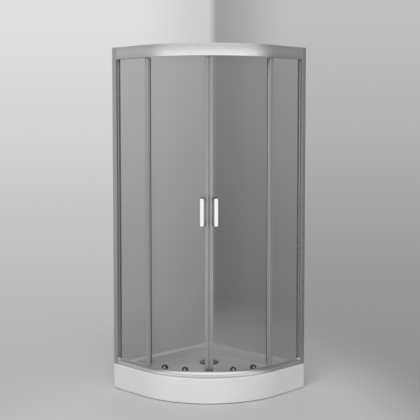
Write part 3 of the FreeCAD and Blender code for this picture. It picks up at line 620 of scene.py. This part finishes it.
FINISHES = (
    Acrylic(),
    Aluminium("aluminium_level", Drawn.LEVEL, (0.79, 0.795, 0.80), (0.87, 0.875, 0.88), (0.24, 0.32)),
    Aluminium("aluminium_bright", Drawn.LEVEL, (0.78, 0.785, 0.79), (0.86, 0.865, 0.87), (0.12, 0.20)),
    Aluminium("aluminium_upright", Drawn.UPRIGHT, (0.62, 0.625, 0.63), (0.70, 0.705, 0.71), (0.26, 0.34)),
    Aluminium("aluminium_matt", Drawn.UPRIGHT, (0.36, 0.363, 0.366), (0.41, 0.414, 0.418), (0.45, 0.55), 0.4),
    # Paler, less metallic copy of the aluminium: painted light that lifts the trailing profiles out of the
    # shade they sit in behind the posts.
    Aluminium("aluminium_pale", Drawn.UPRIGHT, (0.88, 0.884, 0.888), (0.94, 0.944, 0.948), (0.45, 0.55), 0.3),
    Aluminium("aluminium_satin", Drawn.UPRIGHT, (0.39, 0.393, 0.396), (0.45, 0.454, 0.458), (0.34, 0.42)),
    Chrome(),
    TurnedSteel(),
    TintedGlass(),
    Moulded("rubber_black", (0.018, 0.018, 0.018), (0.04, 0.04, 0.04), (0.55, 0.75), 0.3),
    Moulded("gasket_grey", (0.26, 0.264, 0.267), (0.31, 0.314, 0.317), (0.5, 0.7), 0.25),
    Moulded("clear_vinyl", (0.34, 0.35, 0.355), (0.42, 0.43, 0.435), (0.25, 0.4), 0.1, 0.55),
    Moulded("seal_grey", (0.14, 0.145, 0.15), (0.19, 0.195, 0.20), (0.45, 0.6)),
    Moulded("wheel_dark", (0.03, 0.03, 0.032), (0.055, 0.055, 0.058), (0.3, 0.45)),
    Moulded("trap_plastic", (0.74, 0.74, 0.72), (0.82, 0.82, 0.80), (0.35, 0.5)),
    ZincSteel(),
    ChipBoard(),
)


class Palette:
    """All finishes of the enclosure by name, made once."""

    def __init__(self) -> None:
        """Makes every material."""
        self.materials = {finish.name: finish.material() for finish in FINISHES}

    def dress(self, piece: bpy.types.Object, finish: str) -> None:
        """Gives a piece one finish all over.

        Args:
            piece: The object.
            finish: Name of the finish.
        """
        piece.data.materials.clear()
        piece.data.materials.append(self.materials[finish])


def add_object(name: str, data: bpy.types.ID) -> bpy.types.Object:
    """Puts a new object into the scene.

    Args:
        name: The object's name.
        data: Its mesh, light or camera.

    Returns:
        The object.
    """
    item = bpy.data.objects.new(name, data)
    bpy.context.scene.collection.objects.link(item)
    return item


def mesh_of(name: str, shape: Shape) -> bpy.types.Mesh:
    """Turns a shape into a mesh.

    Args:
        name: The mesh's name.
        shape: The shape; it is freed.

    Returns:
        The mesh.
    """
    mesh = bpy.data.meshes.new(name)
    shape.to_mesh(mesh)
    shape.free()
    return mesh


class Workshop:
    """Finishes shapes into pieces: normals, shading, finish, body and slot."""

    def __init__(self, palette: Palette) -> None:
        """Keeps the finishes.

        Args:
            palette: The enclosure's finishes.
        """
        self.palette = palette

    def piece(self, name: str, shape: Shape, finish: str, body: str, replaces: Sequence[str] = ()) -> None:
        """Makes an object of a shape and hands it to its body.

        Args:
            name: The piece's name.
            shape: Its shape, already in place; it is freed.
            finish: Name of the finish, which is also the record's material slot.
            body: The body that carries it.
            replaces: Nodes that the piece stands for.
        """
        bmesh.ops.remove_doubles(shape, verts=shape.verts[:], dist=MERGE_DISTANCE)
        bmesh.ops.recalc_face_normals(shape, faces=shape.faces[:])
        mesh = mesh_of(name, shape)
        mesh.shade_smooth()
        mesh.set_sharp_from_angle(angle=math.radians(SHADED_SHARP_DEG))
        piece = add_object(name, mesh)
        self.palette.dress(piece, finish)
        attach(piece, body)
        if replaces:
            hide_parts(*replaces)
        LOG.info("%s: %d faces on %s", name, len(mesh.polygons), body)


def on_front(side: Side, angle: float, radius: float, height: float) -> Matrix:
    """Place on the round front, with +X pointing outwards.

    Args:
        side: Half of the enclosure.
        angle: Degrees from the middle of the front.
        radius: Distance from the arc's axis.
        height: Height above the floor.

    Returns:
        The matrix from a piece's own axes to that place.
    """
    turn = Matrix.Rotation(math.radians(MIDDLE_DEG + side.value * angle), 4, "Z")
    return Matrix.Translation(ARC_CENTRE) @ turn @ Matrix.Translation((radius, 0.0, height))


def turned(profile: Sequence[Span], steps: int) -> Shape:
    """Turns a closed profile about the X axis.

    Args:
        profile: Points as (along, radius).
        steps: Faces round the axis.

    Returns:
        The ring.
    """
    shape = bmesh.new()
    points = [shape.verts.new((along, 0.0, radius)) for along, radius in profile]
    edges = [shape.edges.new(pair) for pair in zip(points, points[1:] + points[:1])]
    bmesh.ops.spin(
        shape, geom=points + edges, cent=ORIGIN, axis=X_AXIS, angle=math.tau, steps=steps, use_merge=True
    )
    bmesh.ops.recalc_face_normals(shape, faces=shape.faces[:])
    return shape


def soften(shape: Shape, edges: Iterable[bmesh.types.BMEdge], offset: float, segments: int = 2) -> None:
    """Rounds edges.

    Args:
        shape: The shape.
        edges: The edges to round.
        offset: How far the rounding reaches.
        segments: Faces across the rounding.
    """
    bmesh.ops.bevel(
        shape,
        geom=list(edges),
        offset=offset,
        segments=segments,
        profile=0.5,
        affect="EDGES",
        material=-1,
        clamp_overlap=True,
    )


def sharp_edges(shape: Shape, degrees: float = ROUNDED_SHARP_DEG) -> list[bmesh.types.BMEdge]:
    """Edges where the surface turns sharply.

    Args:
        shape: The shape.
        degrees: Smallest turn that counts.

    Returns:
        The edges.
    """
    limit = math.radians(degrees)
    return [edge for edge in shape.edges if len(edge.link_faces) == 2 and edge.calc_face_angle() > limit]


def block(shape: Shape, centre: Point, size: Point) -> list[bmesh.types.BMVert]:
    """Adds an upright block.

    Args:
        shape: The shape to add to.
        centre: Middle of the block.
        size: Its three sides.

    Returns:
        The block's vertices.
    """
    place = Matrix.Translation(centre) @ Matrix.Diagonal((*size, 1.0))
    return bmesh.ops.create_cube(shape, size=1.0, matrix=place)["verts"]


def ring_of(shape: Shape, verts: list[bmesh.types.BMVert], count: int) -> None:
    """Repeats a small form round the X axis.

    Args:
        shape: The shape that holds the form.
        verts: The form's vertices.
        count: How many there are in all.
    """
    chosen = set(verts)
    edges = [edge for edge in shape.edges if chosen.issuperset(edge.verts)]
    faces = [face for face in shape.faces if chosen.issuperset(face.verts)]
    bmesh.ops.spin(
        shape,
        geom=verts + edges + faces,
        cent=ORIGIN,
        axis=X_AXIS,
        angle=math.tau * (count - 1) / count,
        steps=count - 1,
        use_duplicate=True,
    )


def add_copy(target: Shape, shape: Shape, place: Matrix) -> None:
    """Adds a copy of a shape at a place.

    Args:
        target: The shape that receives it.
        shape: The shape to copy.
        place: Where the copy goes.
    """
    mesh = bpy.data.meshes.new("copy")
    shape.to_mesh(mesh)
    mesh.transform(place)
    target.from_mesh(mesh)
    bpy.data.meshes.remove(mesh)


@dataclass
class FrameFinishes:
    """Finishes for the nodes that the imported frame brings."""

    palette: Palette
    by_start: dict[str, str] = field(
        default_factory=lambda: {
            "shower_tray": "tray_white",
            "tray_base_board": "board",
            "tray_support_frame": "zinc_steel",
            "tray_foot_studs": "zinc_steel",
            "tray_foot_nuts": "zinc_steel",
            "tray_foot_pads": "rubber_black",
            "rail_screws": "zinc_steel",
            "side_profile_screws": "zinc_steel",
            "rail_stops": "rubber_black",
            "waste_cover": "waste_steel",
            "waste_flange": "waste_steel",
            "waste_gasket": "rubber_black",
            "waste_trap": "trap_plastic",
            "top_rail": "aluminium_level",
            "bottom_rail": "aluminium_bright",
            "wall_profile": "aluminium_upright",
            "side_profile": "aluminium_upright",
            "fixed_post": "aluminium_matt",
            "lead_profile": "aluminium_satin",
            # The trailing profile sits in shade behind the post; its paler copy of the aluminium is painted
            # light.
            "trail_profile": "aluminium_pale",
            "fixed_glass": "tinted_glass",
            "door_glass": "tinted_glass",
            "glass_gasket": "gasket_grey",
            "post_seal": "clear_vinyl",
            "drip_strip": "clear_vinyl",
            "door_washers": "clear_vinyl",
            "magnet_strip": "seal_grey",
            "handle": "chrome_bright",
            "handle_posts": "wheel_dark",
            "roller": "chrome_bright",
            "wheel": "wheel_dark",
        }
    )

    def dress(self) -> None:
        """Gives every node the finish of the longest start that its name has."""
        for name, node in sorted(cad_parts.items()):
            starts = [start for start in self.by_start if name.startswith(start)]
            finish = self.by_start[max(starts, key=len)]
            self.palette.dress(node, finish)
            LOG.info("%s: %s", name, finish)


@dataclass
class RollerWheel:
    """Grooved wheel with ribbed dishes, and the steel ring in its hub."""

    workshop: Workshop
    track_radius: float = 0.5055
    radius: float = 0.017
    half_width: float = 0.0065
    groove_half: float = 0.005
    groove_floor_half: float = 0.003125
    groove_depth: float = 0.0025
    rim: float = 0.0035
    hub: float = 0.0085
    bore: float = 0.00406
    dish: float = 0.002
    ribs: int = 7
    rib_width: float = 0.0014
    rib_place: float = 0.55
    rib_share: float = 0.7
    rounding: float = 0.00035
    steps: int = 56
    ring_bore: float = 0.0045
    ring_step: float = 0.0066
    ring_land: float = 0.0070
    ring_margin: float = 0.0002
    ring_sunk: float = 0.0004
    ring_low: float = 0.0001
    ring_high: float = 0.0002

    def wheel(self) -> Shape:
        """The wheel about the X axis.

        Returns:
            The wheel's shape.
        """
        half, low = self.half_width, self.radius - self.groove_depth
        inner = low - self.rim
        sunk = half - self.dish
        near = [
            (-half, self.bore),
            (-half, self.hub),
            (-sunk, self.hub),
            (-sunk, inner),
            (-half, inner),
            (-half, self.radius),
            (-self.groove_half, self.radius),
            (-self.groove_floor_half, low),
        ]
        shape = turned(near + [(-along, radius) for along, radius in reversed(near)], self.steps)
        soften(shape, sharp_edges(shape), self.rounding)
        rib_size = (self.dish * self.rib_share, self.rib_width, inner - self.hub)
        for way in BOTH_WAYS:
            centre = (way * (half - self.dish * self.rib_place), 0.0, (self.hub + inner) / 2)
            ring_of(shape, block(shape, centre, rib_size), self.ribs)
        return shape

    def hub_ring(self) -> Shape:
        """The steel ring on the hub's outer face.

        Returns:
            The ring's shape.
        """
        face = self.half_width - self.ring_sunk
        low = self.half_width + self.ring_low
        high = self.half_width + self.ring_high
        rim = self.hub - self.ring_margin
        profile = [
            (face, self.ring_bore),
            (low, self.ring_bore),
            (low, self.ring_step),
            (high, self.ring_land),
            (high, rim),
            (face, rim),
        ]
        return turned(profile, self.steps)

    def build(self, side: Side, level: Level, rank: Rank) -> None:
        """Makes one roller's pieces.

        Args:
            side: The door's side.
            level: Top or bottom of the door.
            rank: Front or rear roller.
        """
        place = on_front(side, rank.value, self.track_radius, level.value)
        tail = "_".join((level.name.lower(), rank.name.lower(), side.word))
        body = "roller_" + tail
        wheel, ring = self.wheel(), self.hub_ring()
        for shape in (wheel, ring):
            shape.transform(place)
        self.workshop.piece("ribbed_wheel_" + tail, wheel, "wheel_dark", body, replaces=("wheel_" + tail,))
        self.workshop.piece("hub_ring_" + tail, ring, "zinc_steel", body)


@dataclass
class DoorFixings:
    """Hexagon sockets in the axle heads and knurled grips on the nuts inside the door."""

    workshop: Workshop
    head_face: float = 0.5147
    socket_radius: float = 0.0053
    socket_faces: int = 36
    socket_height: float = 0.0009
    socket_rounding: float = 0.0002
    key_radius: float = 0.0028
    key_faces: int = 6
    nut_face: float = 0.4898
    nut_radius: float = 0.013
    nut_height: float = 0.006
    ridge_count: int = 30
    ridge_size: Point = (0.0030, 0.0010, 0.0014)
    ridge_place: float = 0.45
    ridge_rounding: float = 0.0003

    def socket(self) -> Shape:
        """Round cap with a hexagon hole, outwards along +X.

        Returns:
            The cap's shape.
        """
        shape = bmesh.new()
        lay = Matrix.Rotation(math.radians(90.0), 4, "Y")
        for faces, radius in ((self.socket_faces, self.socket_radius), (self.key_faces, self.key_radius)):
            bmesh.ops.create_circle(shape, segments=faces, radius=radius, matrix=lay)
        ring = bmesh.ops.bridge_loops(shape, edges=shape.edges[:])["faces"]
        moved = bmesh.ops.extrude_face_region(shape, geom=ring)["geom"]
        verts = [item for item in moved if isinstance(item, bmesh.types.BMVert)]
        bmesh.ops.translate(shape, verts=verts, vec=(self.socket_height, 0.0, 0.0))
        bmesh.ops.recalc_face_normals(shape, faces=shape.faces[:])
        rim = [
            edge
            for edge in sharp_edges(shape, SQUARE_SHARP_DEG)
            if all(vert.co.x > self.socket_height / 2 for vert in edge.verts)
        ]
        soften(shape, rim, self.socket_rounding)
        return shape

    def knurl(self) -> Shape:
        """Ring of ridges round a nut.

        Returns:
            The ridges' shape, about the X axis.
        """
        shape = bmesh.new()
        block(shape, (-self.nut_height * self.ridge_place, 0.0, self.nut_radius), self.ridge_size)
        soften(shape, sharp_edges(shape), self.ridge_rounding)
        ring_of(shape, shape.verts[:], self.ridge_count)
        return shape

    def build(self, side: Side) -> None:
        """Makes one door's pieces.

        Args:
            side: The door's side.
        """
        for name, form, radius in (
            ("axle_sockets_", self.socket(), self.head_face),
            ("nut_grips_", self.knurl(), self.nut_face),
        ):
            shape = bmesh.new()
            for level in Level:
                for rank in Rank:
                    add_copy(shape, form, on_front(side, rank.value, radius, level.value))
            form.free()
            self.workshop.piece(name + side.word, shape, "chrome_bright", "door_" + side.word)


@dataclass
class HandleCapsAndShade:
    """Dark moulded caps behind the top and bottom ends of each bar handle, shifted toward the middle: partly
    real caps, partly a painted shadow and reflection of the bar on the glass.
    """

    workshop: Workshop
    # The caps stand a little nearer the middle than the bar, where the bar's dark shadow and reflection fall
    # on the glass; that dark geometry is painted shade.
    angle: float = 4.05
    radius: float = 0.5275
    middle: float = 1.0765
    half_length: float = 0.0785
    width: float = 0.0216
    depth: float = 0.0070
    proud: float = 0.0035
    sunk: float = 0.0080
    corner: float = 0.0075
    corner_faces: int = 6
    rounding: float = 0.0006

    def cap(self) -> Shape:
        """One cap with an arched top, for the bar's upper end.

        Returns:
            The cap's shape, with the bar's end at its origin.
        """
        shape = bmesh.new()
        height = self.proud + self.sunk
        block(shape, (0.0, 0.0, self.proud - height / 2), (self.depth, self.width, height))
        crown = [
            edge
            for edge in shape.edges
            if all(vert.co.z > 0.0 for vert in edge.verts) and edge.verts[0].co.y == edge.verts[1].co.y
        ]
        soften(shape, crown, self.corner, self.corner_faces)
        soften(shape, sharp_edges(shape, SQUARE_SHARP_DEG), self.rounding)
        return shape

    def build(self, side: Side) -> None:
        """Makes one handle's caps.

        Args:
            side: The door's side.
        """
        ends, cap = bmesh.new(), self.cap()
        for way in BOTH_WAYS:
            place = on_front(side, self.angle, self.radius, self.middle + way * self.half_length)
            add_copy(ends, cap, place @ Matrix.Diagonal((1.0, 1.0, way, 1.0)))
        cap.free()
        self.workshop.piece("handle_ends_" + side.word, ends, "wheel_dark", "door_" + side.word)


@dataclass
class TrayFeet:
    """Threaded studs of the levelling feet and the weld beads of the tray's frame."""

    workshop: Workshop
    crest: float = 0.005
    root: float = 0.0043
    pitch: float = 0.0015
    bottom: float = 0.0045
    top: float = 0.075
    steps: int = 14
    seam: float = 1e-6
    places: tuple[Span, ...] = (
        (-0.255, 0.255),
        (0.346, 0.255),
        (0.2999, 0.045),
        (-0.255, -0.346),
        (-0.045, -0.2999),
    )
    crossings: tuple[Span, ...] = (
        (-0.255, 0.255),
        (-0.045, 0.255),
        (-0.255, 0.045),
        (-0.045, 0.045),
    )
    tube_half: float = 0.010
    tube_bottom: float = 0.060
    bead_radius: float = 0.0022
    bead_count: int = 7
    bead_faces_round: int = 10
    bead_faces_down: int = 6

    def stud(self) -> Shape:
        """One threaded stud about the Z axis.

        Returns:
            The stud's shape.
        """
        shape = bmesh.new()
        turns = round((self.top - self.bottom) / self.pitch) - 1
        points = [
            shape.verts.new((radius, 0.0, self.bottom + self.pitch * number / 2))
            for number, radius in enumerate((self.crest, self.root, self.crest))
        ]
        edges = [shape.edges.new(pair) for pair in zip(points, points[1:])]
        bmesh.ops.spin(
            shape,
            geom=points + edges,
            cent=ORIGIN,
            axis=Z_AXIS,
            dvec=(0.0, 0.0, self.pitch / self.steps),
            angle=math.tau * turns,
            steps=self.steps * turns,
        )
        bmesh.ops.remove_doubles(shape, verts=shape.verts[:], dist=self.seam)
        bmesh.ops.holes_fill(shape, edges=[edge for edge in shape.edges if edge.is_boundary], sides=0)
        return shape

    def weld(self) -> Shape:
        """One upright weld bead of overlapping drops.

        Returns:
            The bead's shape, from the tube's lower edge up.
        """
        shape = bmesh.new()
        step = 2 * self.tube_half / self.bead_count
        for number in range(self.bead_count):
            bmesh.ops.create_uvsphere(
                shape,
                u_segments=self.bead_faces_round,
                v_segments=self.bead_faces_down,
                radius=self.bead_radius,
                matrix=Matrix.Translation((0.0, 0.0, self.tube_bottom + step * (number + 0.5))),
            )
        return shape

    def build(self) -> None:
        """Makes the studs and the beads."""
        studs, stud = bmesh.new(), self.stud()
        for x, y in self.places:
            add_copy(studs, stud, Matrix.Translation((x, y, 0.0)))
        stud.free()
        self.workshop.piece("threaded_studs", studs, "zinc_steel", "enclosure", replaces=("tray_foot_studs",))
        beads, weld = bmesh.new(), self.weld()
        for x, y in self.crossings:
            for across in (-self.tube_half, self.tube_half):
                for along in (-self.tube_half, self.tube_half):
                    add_copy(beads, weld, Matrix.Translation((x + across, y + along, 0.0)))
        weld.free()
        self.workshop.piece("weld_beads", beads, "zinc_steel", "enclosure")


@dataclass(frozen=True)
class Floor:
    """Pale floor that fades out away from the enclosure."""

    radius: float = 5.0
    faces: int = 96
    middle: Point = (0.9, -0.9, 0.0)
    reach: Point = (2.2, 0.75, 1.0)
    fade: Span = (1.0, 2.0)
    colour: Colour = (0.60, 0.60, 0.60)
    shade: float = 0.97
    gloss: Span = (0.45, 0.55)
    cloud: Grain = Grain(3.0, detail=2.0)

    def build(self) -> None:
        """Lays the floor and lets it fade out."""
        shape = bmesh.new()
        bmesh.ops.create_circle(shape, cap_ends=True, segments=self.faces, radius=self.radius)
        floor = add_object("floor", mesh_of("floor", shape))
        graph = Graph("floor_pale")
        cloud = graph.grain(self.cloud)
        graph.tint(cloud, scaled(self.colour, self.shade), self.colour)
        graph.gloss(cloud, self.gloss)
        inputs = {
            "Vector": graph.place,
            "Location": self.middle,
            "Rotation": (0.0, 0.0, math.radians(MIDDLE_DEG)),
            "Scale": self.reach,
        }
        patch = graph.node("Mapping", inputs, vector_type="TEXTURE")
        distance = graph.length(patch.outputs["Vector"])
        graph.feed(graph.shader.inputs["Alpha"], graph.step(distance, self.fade, (1.0, 0.0)))
        floor.data.materials.append(graph.material)


@dataclass(frozen=True)
class Surroundings:
    """Soft surroundings: pale behind with painted shade of a room's walls and corner, darker at the sides,
    bright from the viewer's side.
    """

    front: Point = (0.7071, -0.7071, 0.0)
    right: Point = (0.7071, 0.7071, 0.0)
    # The tones behind are painted shade of room walls that the scene doesn't have: darker low down, darker to
    # the right, and darkest in a narrow band just right of the middle, where the walls' corner would stand.
    behind_low_painted_shade: Stops = ((-0.08, 0.47), (0.0, 0.36), (0.006, 0.17), (0.09, 0.285))
    behind_high_painted_shade: Stops = ((-0.08, 0.75), (0.0, 0.62), (0.006, 0.35), (0.09, 0.53))
    left_side: Stops = ((-0.32, 0.32), (0.08, 0.50), (0.20, 0.44), (0.45, 0.24))
    right_side: Stops = ((-0.32, 0.15), (0.08, 0.27), (0.20, 0.26), (0.45, 0.19))
    before: Stops = ((-0.12, 1.0), (0.22, 0.62), (0.40, 0.62), (0.56, 1.0))
    low_to_high: Span = (-0.26, 0.16)
    left_to_right: Span = (-0.03, 0.03)
    behind_to_beside: Span = (-0.75, -0.25)
    beside_to_before: Span = (0.15, 0.60)

    def graded(self, tree: ShaderTree, value: Socket, stops: Stops) -> Socket:
        """Grey tone that changes softly with a value.

        Args:
            tree: The world's node tree.
            value: The value, from -1 to 1.
            stops: Values and the tones there, in rising order.

        Returns:
            The tone.
        """
        unit = tree.spread(value, BOTH_WAYS, (0.0, 1.0))
        greys = [((place + 1.0) / 2.0, (tone, tone, tone)) for place, tone in stops]
        return tree.ramp(unit, greys, eased=True)

    def build(self) -> None:
        """Gives the world its tones by direction."""
        world = bpy.data.worlds.new("soft_room")
        bpy.context.scene.world = world
        tree = ShaderTree(world)
        ray = tree.nodes.new("ShaderNodeTexCoord").outputs["Generated"]
        across = tree.along(ray, self.right)
        forward = tree.along(ray, self.front)
        height = tree.along(ray, Z_AXIS)
        behind = tree.blend(
            tree.step(height, self.low_to_high),
            self.graded(tree, across, self.behind_low_painted_shade),
            self.graded(tree, across, self.behind_high_painted_shade),
        )
        beside = tree.blend(
            tree.step(across, self.left_to_right),
            self.graded(tree, height, self.left_side),
            self.graded(tree, height, self.right_side),
        )
        before = self.graded(tree, height, self.before)
        around = tree.blend(tree.step(forward, self.behind_to_beside), behind, beside)
        tone = tree.blend(tree.step(forward, self.beside_to_before), around, before)
        tree.feed(tree.nodes["Background"].inputs["Color"], tone)


@dataclass(frozen=True)
class Lamp:
    """Soft square lamp, out of sight of the camera and of reflections."""

    name: str
    place: Point
    target: Point
    size: float
    watts: float

    def build(self) -> None:
        """Hangs the lamp and turns it to its target."""
        light = bpy.data.lights.new(self.name, "AREA")
        light.shape = "SQUARE"
        light.size = self.size
        light.energy = self.watts
        lamp = add_object(self.name, light)
        lamp.location = self.place
        lamp.rotation_euler = (Vector(self.target) - Vector(self.place)).to_track_quat("-Z", "Y").to_euler()
        lamp.visible_camera = False
        lamp.visible_glossy = False


@dataclass(frozen=True)
class Viewpoint:
    """Camera at the photograph's viewing angle."""

    place: Point = (3.8280, -3.8280, 1.5471)
    turn_deg: Point = (86.156, 0.0, 44.941)
    shift: float = -0.05
    lens_mm: float = 79.29
    sensor_mm: float = 36.0

    def build(self) -> None:
        """Sets up the camera."""
        data = bpy.data.cameras.new("camera")
        data.lens = self.lens_mm
        data.sensor_width = self.sensor_mm
        data.shift_y = self.shift
        camera = add_object("camera", data)
        camera.location = self.place
        camera.rotation_euler = tuple(math.radians(turn) for turn in self.turn_deg)
        bpy.context.scene.camera = camera


@dataclass(frozen=True)
class Studio:
    """Plain pale floor, soft light and the camera."""

    floor: Floor = Floor()
    surroundings: Surroundings = Surroundings()
    key_light: Lamp = Lamp("key_light", (1.4, -2.4, 3.6), (0.1, -0.1, 0.5), 1.8, 74.0)
    top_light: Lamp = Lamp("top_light", (0.0, 0.0, 4.2), (0.0, 0.0, 0.6), 2.0, 12.0)
    viewpoint: Viewpoint = Viewpoint()

    def build(self) -> None:
        """Sets up the floor, the light and the camera."""
        bpy.context.scene.view_settings.view_transform = "Standard"
        for part in (self.floor, self.surroundings, self.key_light, self.top_light, self.viewpoint):
            part.build()


def main() -> None:
    """Builds the looks in order and keeps the sizes."""
    logging.basicConfig(level=logging.INFO, format="%(message)s")
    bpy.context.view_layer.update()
    palette = Palette()
    workshop = Workshop(palette)
    FrameFinishes(palette).dress()
    wheels = RollerWheel(workshop)
    fixings = DoorFixings(workshop)
    handle_caps_and_shade = HandleCapsAndShade(workshop)
    for side in Side:
        for level in Level:
            for rank in Rank:
                wheels.build(side, level, rank)
        fixings.build(side)
        handle_caps_and_shade.build(side)
    TrayFeet(workshop).build()
    Studio().build()


if __name__ == "__main__":
    main()
